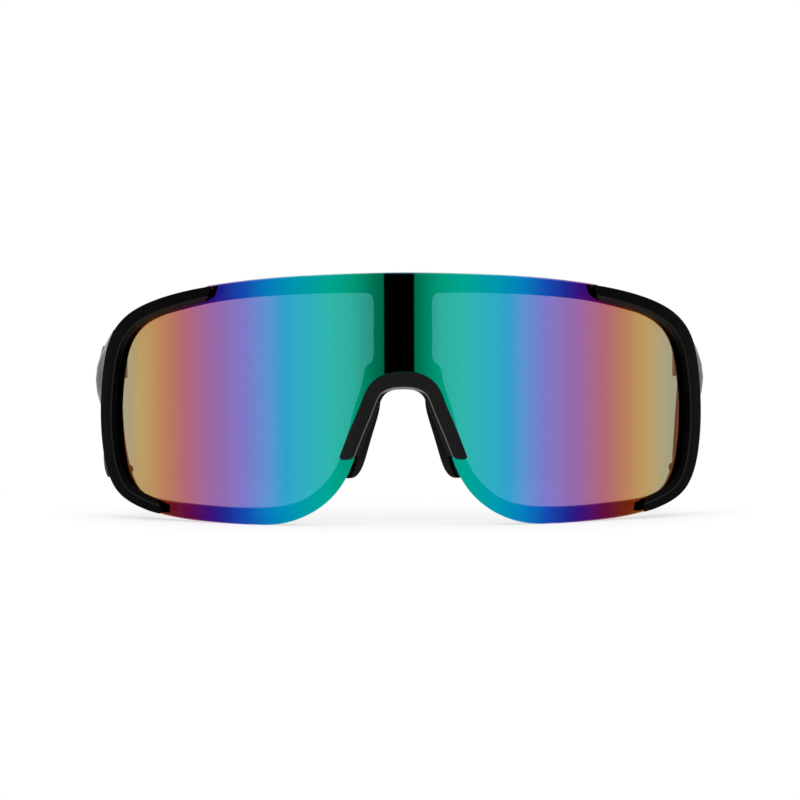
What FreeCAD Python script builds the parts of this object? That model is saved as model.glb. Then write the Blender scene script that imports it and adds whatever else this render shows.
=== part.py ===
import FreeCAD, Part
import Sketcher
import math
import os
import re
from types import SimpleNamespace

from FreeCAD import Placement, Rotation, Vector

# Shield sunglasses: one wrapped mirror lens over a rear frame, held by a bracket at each side,
# with a nose bridge, two soft nose pads and two temples that fold on screwed metal hinges.
# Millimetres. +Z is up, +Y points back to the wearer's ears and +X is the wearer's left.
# The origin is under the middle of the object, on the surface that it stands on.

SIZES = {
    # Lens and rear frame
    "front_width": 153.0,
    "lens_height": 63.8,
    "lens_wrap": 53.6,
    "lens_thickness": 1.8,
    "frame_depth": 3.0,
    "frame_inset": 0.5,
    "seat_gap": 0.05,
    # Side brackets
    "bracket_lip": 3.6,
    "bracket_proud": 2.0,
    "bracket_wall": 1.1,
    "bracket_back_depth": 0.8,
    "bracket_end_slant": 2.4,
    "bracket_end_inset": 0.6,
    # Nose bridge
    "bridge_width": 3.7,
    "bridge_proud": 1.9,
    "bridge_web": 0.7,
    "bridge_gap": 0.1,
    "bridge_foot_slant": 1.8,
    # Nose pads
    "pad_foot": 11.5,
    "pad_top_gap": 1.6,
    "pad_thickness": 4.0,
    "pad_lean": 1.2,
    "pad_depth": 8.5,
    "pad_splay": 28.0,
    "pad_gap": 0.25,
    "pad_slot": 2.1,
    # Hinges
    "hinge_height_share": 0.595,
    "lug_height_share": 0.28,
    "lug_edge": 0.85,
    "joint_gap": 0.3,
    "leaf_height": 7.0,
    "leaf_thickness": 0.8,
    "leaf_end_gap": 0.5,
    "frame_leaf_length": 6.0,
    "temple_leaf_length": 9.5,
    "knuckle_radius": 1.2,
    "knuckle_relief": 0.3,
    "knuckle_gap": 0.1,
    "pin_radius": 0.6,
    "pin_clearance": 0.05,
    "pin_head_radius": 1.0,
    "pin_head_height": 0.7,
    # Small screws
    "leaf_screw_radius": 0.5,
    "leaf_screw_bite": 1.4,
    "leaf_screw_head_radius": 1.0,
    "leaf_screw_head_height": 0.5,
    "leaf_screw_spacing": 3.6,
    "bracket_screw_radius": 0.7,
    "bracket_screw_cover": 0.6,
    "bracket_screw_head_radius": 1.1,
    "bracket_screw_head_height": 0.9,
    "bracket_screw_inset": 2.0,
    "slot_width": 0.4,
    "slot_depth": 0.35,
    # Temples
    "temple_height": 9.0,
    "temple_thickness": 2.4,
    "temple_crown": 1.3,
    "temple_flare": 12.0,
    "temple_bow": 2.45,
    "temple_drop": 4.5,
    "ear_distance": 66.0,
    "bend_radius": 30.0,
    "bend_angle": 40.0,
    # Rubber temple tips
    "tip_height": 10.0,
    "tip_thickness": 3.0,
    "tip_crown": 1.0,
    "tip_lead": 4.0,
    "spigot_length": 18.0,
    "spigot_height": 5.6,
    "spigot_thickness": 1.6,
    "spigot_gap": 0.1,
    # How far a cutting shape runs past what it cuts
    "overrun": 5.0,
}

# Half of the front's outline, from the top of the lens round the side and the lower lobe to the
# top of the nose notch: shares of half the front's width and of the lens's height.
OUTLINE_SHARES = [
    (0.0, 1.0),
    (0.208, 0.9935),
    (0.416, 0.977),
    (0.627, 0.941),
    (0.722, 0.915),
    (0.823, 0.873),
    (0.905, 0.815),
    (0.958, 0.737),
    (0.987, 0.621),
    (0.998, 0.494),
    (1.0, 0.398),
    (0.9935, 0.279),
    (0.975, 0.175),
    (0.939, 0.1),
    (0.871, 0.051),
    (0.8, 0.026),
    (0.637, 0.005),
    (0.507, 0.0),
    (0.403, 0.007),
    (0.315, 0.043),
    (0.242, 0.105),
    (0.192, 0.182),
    (0.158, 0.275),
    (0.137, 0.341),
    (0.114, 0.408),
    (0.0915, 0.474),
    (0.068, 0.529),
    (0.038, 0.549),
    (0.0, 0.554),
]
OUTLINE_INDEXES = range(len(OUTLINE_SHARES))
WIDEST_INDEX = max(OUTLINE_INDEXES, key=lambda index: OUTLINE_SHARES[index][0])
LOBE_INDEX = min(OUTLINE_INDEXES, key=lambda index: OUTLINE_SHARES[index][1])
BRACKET_INDEXES = range(3, 16)
BRIDGE_INDEXES = range(22, 29)
# Where the two bracket screws sit, as shares of the bracket's length.
BRACKET_SCREW_SHARES = (0.17, 0.75)
# How many outline points one edge of a front piece runs over.
EDGE_POINT_COUNT = 4

# Width of the bracket's front lip at each of its outline points, as a share of bracket_lip.
LIP_SHARES = (1.1, 1.17, 1.17, 1.14, 1.14, 1.12, 1.1, 1.08, 1.1, 1.11, 1.08, 1.03, 0.97)
# How far the rounded ends bulge, as a share of their width: the bracket's lower end and the bridge's feet.
NUB_SHARE = 0.25
FOOT_SHARE = 0.14

# The left eye opening of the rear frame: shares of half the front's width and of the lens's height.
EYE_SHARES = [
    (0.12, 0.918),
    (0.254, 0.916),
    (0.449, 0.901),
    (0.623, 0.871),
    (0.772, 0.82),
    (0.868, 0.764),
    (0.914, 0.664),
    (0.933, 0.542),
    (0.937, 0.425),
    (0.929, 0.298),
    (0.907, 0.183),
    (0.869, 0.107),
    (0.8, 0.076),
    (0.705, 0.067),
    (0.583, 0.0605),
    (0.462, 0.063),
    (0.384, 0.075),
    (0.317, 0.105),
    (0.269, 0.151),
    (0.228, 0.212),
    (0.195, 0.303),
    (0.156, 0.478),
    (0.133, 0.565),
    (0.125, 0.612),
    (0.118, 0.63),
    (0.104, 0.643),
    (0.0975, 0.66),
    (0.096, 0.72),
    (0.0955, 0.8),
    (0.096, 0.88),
    (0.102, 0.908),
]

# Nose pad: how many slices it has, how full its first and last slices are, how thick it is at its top,
# the exponent that makes its ends blunt, and how much of its depth is flat before its back rounds off.
PAD_SLICE_COUNT = 14
PAD_END_SHARE = 0.3
PAD_TOP_SHARE = 0.5
PAD_END_EXPONENT = 3
PAD_SHOULDER_SHARE = 0.72

# How many slices the temple has along its flare and its arm, and the tip along its bend and its run.
FLARE_SLICE_COUNT = 8
ARM_SLICE_COUNT = 7
BEND_SLICE_COUNT = 8
RUN_SLICE_COUNT = 4
SPIGOT_SLICE_COUNT = 6
# How much of the flare the temple takes to bow out and to drop to the arm's height.
BOW_SHARE = 0.55
# Where a hinge leaf's two screws sit, as a share of its length from the hinge's axis.
LEAF_SCREW_SHARE = 0.6

# The rubber tip's rounded end: share of the end's length, share of the full section.
END_SHARES = ((0.2, 0.985), (0.4, 0.92), (0.6, 0.8), (0.8, 0.6), (0.92, 0.41), (1.0, 0.25))

document = FreeCAD.newDocument("shield_sunglasses")
sheet = document.addObject("Spreadsheet::Sheet", "sizes")
for row, (alias, number) in enumerate(SIZES.items(), start=1):
    sheet.set(f"A{row}", alias)
    sheet.set(f"B{row}", str(number))
    sheet.setAlias(f"B{row}", alias)
document.recompute()
size = SimpleNamespace(**{alias: float(sheet.get(alias)) for alias in SIZES})


# Document helpers

def linked(text):
    """An expression in which every name of a size points at its cell."""
    return re.sub(r"\b[a-z_]+\b", lambda word: f"sizes.{word[0]}" if word[0] in SIZES else word[0], text)


def add(kind, name, sizes=None, place=None, **settings):
    """A document object: sizes are expressions on the sheet, settings are set as they are."""
    made = document.addObject(kind, name)
    for key, setting in settings.items():
        setattr(made, key, setting)
    for key, text in (sizes or {}).items():
        made.setExpression(key, linked(text))
    if place:
        made.Placement = place
    return made


def at(x, y, z, rotation=Rotation()):
    return Placement(Vector(x, y, z), rotation)


def fuse(name, *shapes):
    return add("Part::MultiFuse", name, Shapes=list(shapes))


def common(name, *shapes):
    return add("Part::MultiCommon", name, Shapes=list(shapes))


def cut(name, base, *tools):
    tool = tools[0] if len(tools) == 1 else fuse(name + "_tools", *tools)
    return add("Part::Cut", name, Base=base, Tool=tool)


def mirror(name, source):
    """The same piece for the wearer's right."""
    return add("Part::Mirroring", name, Source=source, Base=Vector(0, 0, 0), Normal=Vector(1, 0, 0))


def block(name, place, length, width, height):
    return add("Part::Box", name, {"Length": length, "Width": width, "Height": height}, place)


def rod(name, place, radius, height):
    return add("Part::Cylinder", name, {"Radius": radius, "Height": height}, place)


def loft(name, wires):
    """A solid through closed wires, each kept as an object of its own."""
    sections = []
    for index, wire in enumerate(wires):
        section = add("Part::Feature", f"{name}_section_{index}")
        section.Shape = wire
        sections.append(section)
    return add("Part::Loft", name, Sections=sections, Solid=True, Ruled=True)


def ease(share):
    """A smooth step from 0 to 1."""
    share = min(max(share, 0.0), 1.0)
    return share * share * (3.0 - 2.0 * share)


def between(first, last, share):
    return first + (last - first) * share


def steps(first, last, count):
    """Evenly spaced places after the first one, up to the last."""
    return [between(first, last, step / count) for step in range(1, count + 1)]


# The front's outline and the curves that follow it, in the front view

half_width = size.front_width / 2


def outline_point(shares):
    return Vector(shares[0] * half_width, 0, shares[1] * size.lens_height)


def mirrored(point):
    return Vector(-point.x, point.y, point.z)


def closed_curve(points):
    curve = Part.BSplineCurve()
    curve.interpolate(Points=points, PeriodicFlag=True)
    return curve


def open_curve(points):
    curve = Part.BSplineCurve()
    curve.interpolate(Points=points)
    return curve


half_outline = [outline_point(shares) for shares in OUTLINE_SHARES]
full_outline = half_outline + [mirrored(point) for point in half_outline[-2:0:-1]]
outline_curve = closed_curve(full_outline)


def along(index):
    """The outline's direction at one of its points, clockwise as seen from the front."""
    return outline_curve.tangent(outline_curve.parameter(full_outline[index]))[0]


def inset(index, distance):
    """A point of the outline moved into the lens by a distance, square to the outline."""
    direction = along(index)
    return full_outline[index] + Vector(direction.z, 0, -direction.x) * distance


def inset_curve(distance_at):
    """The whole outline moved into the lens, by a distance for each of its points."""
    return closed_curve([inset(index, distance_at(index)) for index in range(len(full_outline))])


def frame_step(index):
    """How far the rear frame's edge lies inside the lens's: flush at the foot, stepped in at the top."""
    return size.frame_inset * full_outline[index].z / size.lens_height


def crossing(points, height):
    """The x at which a rising or falling row of points passes a height."""
    for first, last in zip(points, points[1:]):
        if min(first.z, last.z) <= height <= max(first.z, last.z):
            return between(first.x, last.x, (height - first.z) / (last.z - first.z))
    return min(points, key=lambda point: abs(point.z - height)).x


def side_x(height):
    """Half the front's width at a height, above its widest point."""
    return crossing(half_outline[BRACKET_INDEXES[0]:WIDEST_INDEX + 1], height)


def notch_x(height):
    """Half the nose notch's width at a height."""
    return crossing(half_outline[LOBE_INDEX:], height)


def bracket_curve(distance_at, upper_shift, lower_shift):
    """The outline along the bracket moved inwards, with its two ends drawn in along the outline."""
    points = [inset(index, distance_at(index)) for index in BRACKET_INDEXES]
    points[0] = points[0] + along(BRACKET_INDEXES[0]) * upper_shift
    points[-1] = points[-1] - along(BRACKET_INDEXES[-1]) * lower_shift
    return points


def bridge_curve(distance, slant=0):
    """The outline along the nose bridge moved into the lens, with both feet made longer by a slant."""
    half = [inset(index, distance) for index in BRIDGE_INDEXES]
    half[0] = half[0] - along(BRIDGE_INDEXES[0]) * slant
    return half + [mirrored(point) for point in half[-2::-1]]


def lip_width(index):
    return size.bracket_lip * LIP_SHARES[index - BRACKET_INDEXES[0]]


def bulged_end(outer, inner, before, bulge_share):
    """The end of a strip, across its width: straight, or an arc that bulges away from the strip."""
    if bulge_share == 0:
        return Part.LineSegment(outer, inner)
    across = inner - outer
    onwards = across.cross(Vector(0, 1, 0)) * bulge_share
    if onwards.dot(outer - before) < 0:
        onwards = onwards * -1
    return Part.Arc(outer, (outer + inner) / 2 + onwards, inner)


def band(outer, inner, first_bulge=0, last_bulge=0):
    """The closed strip between two open curves that run side by side."""
    ends = [bulged_end(outer[0], inner[0], outer[1], first_bulge),
            bulged_end(outer[-1], inner[-1], outer[-2], last_bulge)]
    return [open_curve(outer), open_curve(inner)] + ends


# Where the main pieces lie, first from the upright axis that the lens is bent around

lens_front = half_width / math.sin(math.radians(size.lens_wrap))
frame_back = lens_front - size.lens_thickness - size.seat_gap - size.frame_depth
lip_front = lens_front + size.seat_gap + size.bracket_proud
hinge_height = size.lens_height * size.hinge_height_share
lug_height = size.lens_height * size.lug_height_share
mount_x = side_x(hinge_height + lug_height / 2) - size.lug_edge
hinge_x = mount_x - size.knuckle_radius - size.knuckle_relief
lug_length = size.frame_leaf_length + size.leaf_end_gap
hinge_behind = lug_length - math.sqrt(frame_back ** 2 - mount_x ** 2)
pad_x = notch_x(size.pad_foot) - size.pad_lean + size.pad_thickness / 2
pad_behind = size.pad_gap - math.sqrt(frame_back ** 2 - pad_x ** 2)
pad_top = half_outline[-1].z - size.pad_top_gap

# The temple runs straight back, bends down behind the ear and ends on the floor
bend = math.radians(size.bend_angle)
arm_height = hinge_height - size.temple_drop
end_length = size.tip_height / 2
end_drop = max(end_length * (share * math.sin(bend) + full * math.cos(bend)) for share, full in END_SHARES)
end_reach = max(end_length * (share * math.cos(bend) + full * math.sin(bend)) for share, full in END_SHARES)
bend_length = size.bend_radius * bend
bend_drop = size.bend_radius - size.bend_radius * math.cos(bend)
run_length = (arm_height - bend_drop - end_drop) / math.sin(bend)
path_length = size.ear_distance + bend_length + run_length + end_length
arm_start = size.joint_gap / 2
tip_start = size.ear_distance - size.tip_lead
end_start = path_length - end_length

bend_reach = size.bend_radius * math.sin(bend)
front_reach = lens_front + size.seat_gap + size.bridge_proud
back_reach = hinge_behind + size.ear_distance + bend_reach + run_length * math.cos(bend) + end_reach
axis_y = (front_reach - back_reach) / 2
hinge_y = axis_y + hinge_behind
pad_y = axis_y + pad_behind
face_y = axis_y - lip_front - size.overrun


# Front pieces: outlines in the front view, carried back and cut to a round wall

LENS_FRONT = "front_width / 2 / sin(lens_wrap)"
LENS_BACK = LENS_FRONT + " - lens_thickness"
FRAME_FRONT = LENS_BACK + " - seat_gap"
FRAME_BACK = FRAME_FRONT + " - frame_depth"
LIP_BACK = LENS_FRONT + " + seat_gap"


def edges_of(curve):
    """A line or an arc as one edge, or a curve as a row of edges over a few of its points each."""
    if not isinstance(curve, Part.BSplineCurve):
        return [curve.toShape()]
    knots = curve.getKnots()
    ends = knots[:-1:EDGE_POINT_COUNT] + knots[-1:]
    return [curve.toShape(first, last) for first, last in zip(ends, ends[1:])]


def prism(name, curves):
    """A front-view outline carried straight back, as far as the lens's axis."""
    edges = [edge for curve in curves for edge in edges_of(curve)]
    outline = add("Part::Feature", name + "_outline")
    outline.Shape = Part.Face(Part.Wire(Part.__sortEdges__(edges)))
    outline.Placement = at(0, face_y, 0)
    reach = {"LengthFwd": LIP_BACK + " + bracket_proud + overrun"}
    return add("Part::Extrusion", name, reach, Base=outline, DirMode="Custom", Dir=Vector(0, 1, 0),
               Solid=True)


def drum(name, radius):
    """A solid round block about the lens's axis, taller than the lens."""
    return rod(name, at(0, axis_y, -size.overrun), radius, "lens_height + 2 * overrun")


def wall(name, inner, outer):
    """A round upright wall about the lens's axis, between two radii."""
    return cut(name, drum(name + "_outside", outer), drum(name + "_inside", inner))


front_prism = prism("front_prism", [outline_curve])
room_outer = bracket_curve(lambda index: -size.overrun, -size.seat_gap, -size.seat_gap)
room_inner = bracket_curve(lambda index: size.bracket_wall + size.seat_gap, -size.seat_gap, -size.seat_gap)
left_room = prism("left_bracket_room", band(room_outer, room_inner))
right_room = mirror("right_bracket_room", left_room)


# Screws: a turned head and shank with a driver slot, with the seat of the head at the origin

def plane_of(body, role):
    return next(item for item in body.Origin.OriginFeatures if item.Role == role)


def polygon_sketch(body, name, role, corners):
    """A closed sketch of level and upright lines through the corners, on one of the body's planes."""
    sketch = body.newObject("Sketcher::SketchObject", name)
    sketch.AttachmentSupport = [(plane_of(body, role), "")]
    sketch.MapMode = "FlatFace"
    following = corners[1:] + corners[:1]
    for start, end in zip(corners, following):
        sketch.addGeometry(Part.LineSegment(Vector(*start, 0), Vector(*end, 0)))
    for index, (start, end) in enumerate(zip(corners, following)):
        sketch.addConstraint(Sketcher.Constraint("Coincident", index, 2, (index + 1) % len(corners), 1))
        sketch.addConstraint(Sketcher.Constraint("Horizontal" if start[1] == end[1] else "Vertical", index))
    return sketch


def hold(sketch, label, direction, line, number, text):
    """Ties the length of one line of a sketch to the sheet."""
    made = sketch.addConstraint(Sketcher.Constraint(direction, line, 1, line, 2, number))
    sketch.renameConstraint(made, label)
    sketch.setExpression("Constraints." + label, linked(text))


def screw(name, kind, length_text, length, place):
    """A screw of one kind. The length of its shank is given as an expression and as its value."""
    radius = getattr(size, kind + "_radius")
    head_radius = getattr(size, kind + "_head_radius")
    head_height = getattr(size, kind + "_head_height")
    body = document.addObject("PartDesign::Body", name)
    corners = [(0, -length), (radius, -length), (radius, 0), (head_radius, 0), (head_radius, head_height),
               (0, head_height)]
    profile = polygon_sketch(body, name + "_profile", "XZ_Plane", corners)
    profile.addConstraint(Sketcher.Constraint("PointOnObject", 0, 1, -2))
    profile.addConstraint(Sketcher.Constraint("PointOnObject", 1, 2, -1))
    hold(profile, "shank_radius", "DistanceX", 0, radius, kind + "_radius")
    hold(profile, "shank_length", "DistanceY", 1, length, length_text)
    hold(profile, "ledge", "DistanceX", 2, head_radius - radius, f"{kind}_head_radius - {kind}_radius")
    hold(profile, "head_height", "DistanceY", 3, head_height, kind + "_head_height")
    turned = body.newObject("PartDesign::Revolution", name + "_turned")
    turned.Profile = profile
    turned.ReferenceAxis = (profile, ["V_Axis"])
    document.recompute()

    half_slot = size.slot_width / 2
    corners = [(-head_radius, -half_slot), (head_radius, -half_slot), (head_radius, half_slot),
               (-head_radius, half_slot)]
    slot = polygon_sketch(body, name + "_slot", "XY_Plane", corners)
    slot.setExpression("AttachmentOffset.Base.z", linked(kind + "_head_height"))
    slot.addConstraint(Sketcher.Constraint("Symmetric", 0, 1, 1, 2, -1, 1))
    hold(slot, "across", "DistanceX", 0, 2 * head_radius, f"2 * {kind}_head_radius")
    hold(slot, "width", "DistanceY", 1, size.slot_width, "slot_width")
    driven = body.newObject("PartDesign::Pocket", name + "_driver")
    driven.Profile = slot
    driven.setExpression("Length", linked("slot_depth"))
    body.Placement = place
    return body


def facing(direction):
    """Turns an upright piece so that its top points in a direction."""
    return Rotation(Vector(0, 0, 1), direction)


# Each bracket screw goes from behind through the rear frame, where its head is sunk, and the lens into
# the bracket's lip
SHANK = ("frame_depth + lens_thickness + 2 * seat_gap + bracket_proud - bracket_screw_cover"
         " - bracket_screw_head_height")
screw_seat = frame_back + size.bracket_screw_head_height
shank_length = lip_front - size.bracket_screw_cover - screw_seat
bracket_screws = []
bracket_screw_holes = []
head_pockets = []
for share in BRACKET_SCREW_SHARES:
    index = BRACKET_INDEXES[round(share * (len(BRACKET_INDEXES) - 1))]
    spot = inset(index, size.bracket_screw_inset)
    turn = math.asin(spot.x / lens_front)
    outwards = Vector(math.sin(turn), -math.cos(turn), 0)
    seat = Vector(0, axis_y, spot.z) + outwards * screw_seat
    place = Placement(seat, facing(outwards * -1))
    bracket_screws.append(screw(f"left_bracket_screw_{index}", "bracket_screw", SHANK, shank_length, place))
    hole_place = Placement(seat - outwards * size.overrun, facing(outwards))
    bracket_screw_holes.append(rod(f"left_bracket_screw_hole_{index}", hole_place,
                                   "bracket_screw_radius + pin_clearance",
                                   SHANK + " + overrun + pin_clearance"))
    pocket_place = Placement(seat + outwards * size.seat_gap, facing(outwards * -1))
    head_pockets.append(rod(f"left_bracket_screw_pocket_{index}", pocket_place,
                            "bracket_screw_head_radius + pin_clearance", "overrun"))
left_holes = fuse("left_bracket_screw_holes", *bracket_screw_holes)
right_holes = mirror("right_bracket_screw_holes", left_holes)
left_pockets = fuse("left_bracket_screw_pockets", *head_pockets)
right_pockets = mirror("right_bracket_screw_pockets", left_pockets)
left_bracket_screws = add("Part::Compound", "left_bracket_screws", Links=bracket_screws)

# Shield lens
lens_wall = wall("lens_wall", LENS_BACK, LENS_FRONT)
lens_blank = common("lens_blank", front_prism, lens_wall)
shield_lens = cut("shield_lens", lens_blank, left_room, right_room, left_holes, right_holes)

# Rear frame
frame_prism = prism("frame_prism", [inset_curve(frame_step)])
left_eye = prism("left_eye_opening", [closed_curve([outline_point(shares) for shares in EYE_SHARES])])
right_eye = mirror("right_eye_opening", left_eye)
frame_wall = wall("frame_wall", FRAME_BACK, FRAME_FRONT)
frame_blank = common("frame_blank", frame_prism, frame_wall)
rear_frame = cut("rear_frame", frame_blank, left_eye, right_eye, left_room, right_room,
                 left_holes, right_holes, left_pockets, right_pockets)

# Leaf screws: two in each hinge leaf, one above the other, driven from the inside
LEAF_SHANK = "leaf_thickness + 2 * seat_gap + leaf_screw_bite"
leaf_shank_length = size.leaf_thickness + 2 * size.seat_gap + size.leaf_screw_bite
leaf_back_x = mount_x - size.seat_gap - size.leaf_thickness


def leaf_screws(name, screw_y):
    """Two screws through a leaf, and the holes that they need."""
    screws = []
    holes = []
    for label, side in (("lower", -1), ("upper", 1)):
        level = hinge_height + side * size.leaf_screw_spacing / 2
        place = at(leaf_back_x - size.seat_gap, screw_y, level, facing(Vector(-1, 0, 0)))
        screws.append(screw(f"{name}_{label}", "leaf_screw", LEAF_SHANK, leaf_shank_length, place))
        place = at(leaf_back_x - size.overrun, screw_y, level, facing(Vector(1, 0, 0)))
        holes.append(rod(f"{name}_{label}_hole", place, "leaf_screw_radius + pin_clearance",
                         LEAF_SHANK + " + overrun + pin_clearance"))
    return add("Part::Compound", name, Links=screws), fuse(name + "_holes", *holes)


frame_screw_y = hinge_y - size.frame_leaf_length * LEAF_SCREW_SHARE
temple_screw_y = hinge_y + size.temple_leaf_length * LEAF_SCREW_SHARE
left_frame_leaf_screws, frame_leaf_holes = leaf_screws("left_frame_leaf_screws", frame_screw_y)
left_temple_leaf_screws, temple_leaf_holes = leaf_screws("left_temple_leaf_screws", temple_screw_y)

# Side bracket: a lip on the lens, a wall round its edge and a lug behind it for the hinge
lip_outer = bracket_curve(lambda index: size.bracket_end_inset if index == BRACKET_INDEXES[-1] else 0, 0, 0)
lip_inner = bracket_curve(lip_width, size.bracket_end_slant, 0)
lip_prism = prism("lip_prism", band(lip_outer, lip_inner, last_bulge=NUB_SHARE))
bracket_lip = common("bracket_lip", lip_prism, wall("lip_wall", LIP_BACK, LIP_BACK + " + bracket_proud"))
stop_y = hinge_y - size.joint_gap / 2
before_joint = block("before_joint", at(0, stop_y - size.front_width, -size.overrun),
                     "front_width", "front_width", "lens_height + 2 * overrun")
side_prism = prism("side_prism", band(lip_outer, lip_inner))
side_wall = wall("side_wall", FRAME_BACK + " - bracket_back_depth", LIP_BACK)
side_blank = common("side_blank", side_prism, side_wall, before_joint)
seat_prism = prism("seat_prism", [inset_curve(lambda index: size.bracket_wall)])
bracket_side = cut("bracket_side", side_blank, seat_prism)
lug_foot = hinge_height - lug_height / 2
lug_block = block("lug_block", at(mount_x, stop_y - size.frame_leaf_length - size.overrun, lug_foot),
                  "lug_edge + 2 * overrun", "frame_leaf_length + overrun", "lens_height * lug_height_share")
lug_inner = bracket_curve(lambda index: 2 * size.bracket_lip, size.bracket_end_slant, 0)
lug_prism = prism("lug_prism", band(lip_outer, lug_inner))
bracket_lug = common("bracket_lug", lug_block, lug_prism, drum("lug_drum", FRAME_BACK + " - seat_gap"))
bracket_solid = fuse("bracket_solid", bracket_lip, bracket_side, bracket_lug)
left_side_bracket = cut("left_side_bracket", bracket_solid, left_holes, frame_leaf_holes)

# Nose bridge: an arch on the front of the lens, and a web through the notch that carries the pads
bridge_inner = -size.bridge_gap - size.bridge_web
arch_outer = bridge_curve(size.bridge_width, size.bridge_foot_slant)
arch_strip = band(arch_outer, bridge_curve(bridge_inner), FOOT_SHARE, FOOT_SHARE)
arch_prism = prism("arch_prism", arch_strip)
arch = common("arch", arch_prism, wall("arch_wall", LIP_BACK, LIP_BACK + " + bridge_proud"))


def web(name, clearance):
    """The bridge's web, or the room that it needs with a clearance all round."""
    outer = bridge_curve(clearance - size.bridge_gap)
    inner = bridge_curve(bridge_inner - clearance)
    back_y = pad_y + size.pad_slot + clearance
    reach = block(name + "_reach", at(-half_width, back_y - size.front_width, -size.overrun),
                  "front_width", "front_width", "lens_height + 2 * overrun")
    return common(name, prism(name + "_prism", band(outer, inner)), reach,
                  drum(name + "_drum", LIP_BACK + " + bridge_proud"))


nose_bridge = fuse("nose_bridge", arch, web("bridge_web", 0))


# Nose pads: a blade on the web's back edge, flat in front, round behind and splayed to the nose. Its
# foot leans in from the web, and it thins towards its top.

def pad_section(height_share):
    full_share = (1.0 - abs(2.0 * height_share - 1.0) ** PAD_END_EXPONENT) ** (1.0 / PAD_END_EXPONENT)
    full_share = max(full_share, PAD_END_SHARE)
    level = between(size.pad_foot, pad_top, height_share)
    splay = math.radians(size.pad_splay)
    back = Vector(math.sin(splay), math.cos(splay), 0) * size.pad_depth
    half = Vector(size.pad_thickness / 2, 0, 0) * full_share * between(1.0, PAD_TOP_SHARE, height_share)
    web_x = notch_x(level) - size.bridge_gap - size.bridge_web / 2
    middle = web_x - size.pad_lean * (1.0 - height_share)
    start = Vector(middle, pad_y, level) + back * ((1.0 - full_share) / 2)
    shoulder = back * (full_share * PAD_SHOULDER_SHARE)
    corners = [start - half, start + half, start + half + shoulder, start - half + shoulder]
    tip = start + back * full_share
    edges = [Part.LineSegment(corners[0], corners[1]), Part.LineSegment(corners[1], corners[2]),
             Part.Arc(corners[2], tip, corners[3]), Part.LineSegment(corners[3], corners[0])]
    return Part.Wire([edge.toShape() for edge in edges])


pad_turns = steps(0, math.pi, PAD_SLICE_COUNT)
pad_blade = loft("pad_blade", [pad_section((1.0 - math.cos(turn)) / 2) for turn in [0] + pad_turns])
left_nose_pad = cut("left_nose_pad", pad_blade, web("web_room", size.seat_gap))


# Hinge: the frame's leaf has the two outer knuckles, the temple's leaf the middle one

knuckle_height = "(leaf_height - 2 * knuckle_gap) / 3"
knuckle_step = (size.leaf_height + size.knuckle_gap) / 3
leaf_foot = hinge_height - size.leaf_height / 2
relief = size.knuckle_radius + size.knuckle_relief


def knuckle(name, level):
    place = at(hinge_x, hinge_y, leaf_foot + level * knuckle_step)
    return rod(name, place, "knuckle_radius", knuckle_height)


def leaf_window(name, near_y, foot, height):
    """Room in a leaf for the other leaf's knuckle."""
    place = at(leaf_back_x - size.overrun, near_y, foot)
    width = "overrun + knuckle_radius + knuckle_relief"
    return block(name, place, "leaf_thickness + 2 * overrun", width, height)


pin_hole = rod("pin_hole", at(hinge_x, hinge_y, leaf_foot - size.overrun), "pin_radius + pin_clearance",
               "leaf_height + 2 * overrun")

frame_plate = block("frame_plate", at(leaf_back_x, hinge_y - size.frame_leaf_length, leaf_foot),
                    "leaf_thickness", "frame_leaf_length", "leaf_height")
frame_window = leaf_window("frame_window", hinge_y - relief, leaf_foot + knuckle_step - size.knuckle_gap,
                           "(leaf_height + 4 * knuckle_gap) / 3")
frame_leaf = fuse("frame_leaf", cut("frame_leaf_plate", frame_plate, frame_window),
                  knuckle("lower_knuckle", 0), knuckle("upper_knuckle", 2))
left_frame_hinge = cut("left_frame_hinge", frame_leaf, pin_hole, frame_leaf_holes)

temple_plate = block("temple_plate", at(leaf_back_x, hinge_y + size.joint_gap / 2, leaf_foot),
                     "leaf_thickness", "temple_leaf_length - joint_gap / 2", "leaf_height")
window_y = hinge_y - size.overrun
lower_window = leaf_window("lower_window", window_y, leaf_foot + knuckle_step - size.leaf_height,
                           "leaf_height")
upper_window = leaf_window("upper_window", window_y, leaf_foot + 2 * knuckle_step - size.knuckle_gap,
                           "leaf_height")
temple_leaf = fuse("temple_leaf", cut("temple_leaf_plate", temple_plate, lower_window, upper_window),
                   knuckle("middle_knuckle", 1))
left_temple_hinge = cut("left_temple_hinge", temple_leaf, pin_hole, temple_leaf_holes)

pin_place = at(hinge_x, hinge_y, leaf_foot + size.leaf_height + size.pin_clearance)
left_hinge_screw = screw("left_hinge_screw", "pin", "leaf_height", size.leaf_height, pin_place)


# Temple: a flared root behind the bracket's lug, a bowed arm, and a spigot for the rubber tip

def path(distance):
    """The temple's middle line at a distance from the hinge: how far back, how high and how steep."""
    turn = min(max(distance - size.ear_distance, 0.0) / size.bend_radius, bend)
    run = max(distance - size.ear_distance - bend_length, 0.0)
    back = min(distance, size.ear_distance) + size.bend_radius * math.sin(turn) + run * math.cos(turn)
    level = arm_height - size.bend_radius + size.bend_radius * math.cos(turn) - run * math.sin(turn)
    return back, level, turn


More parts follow.
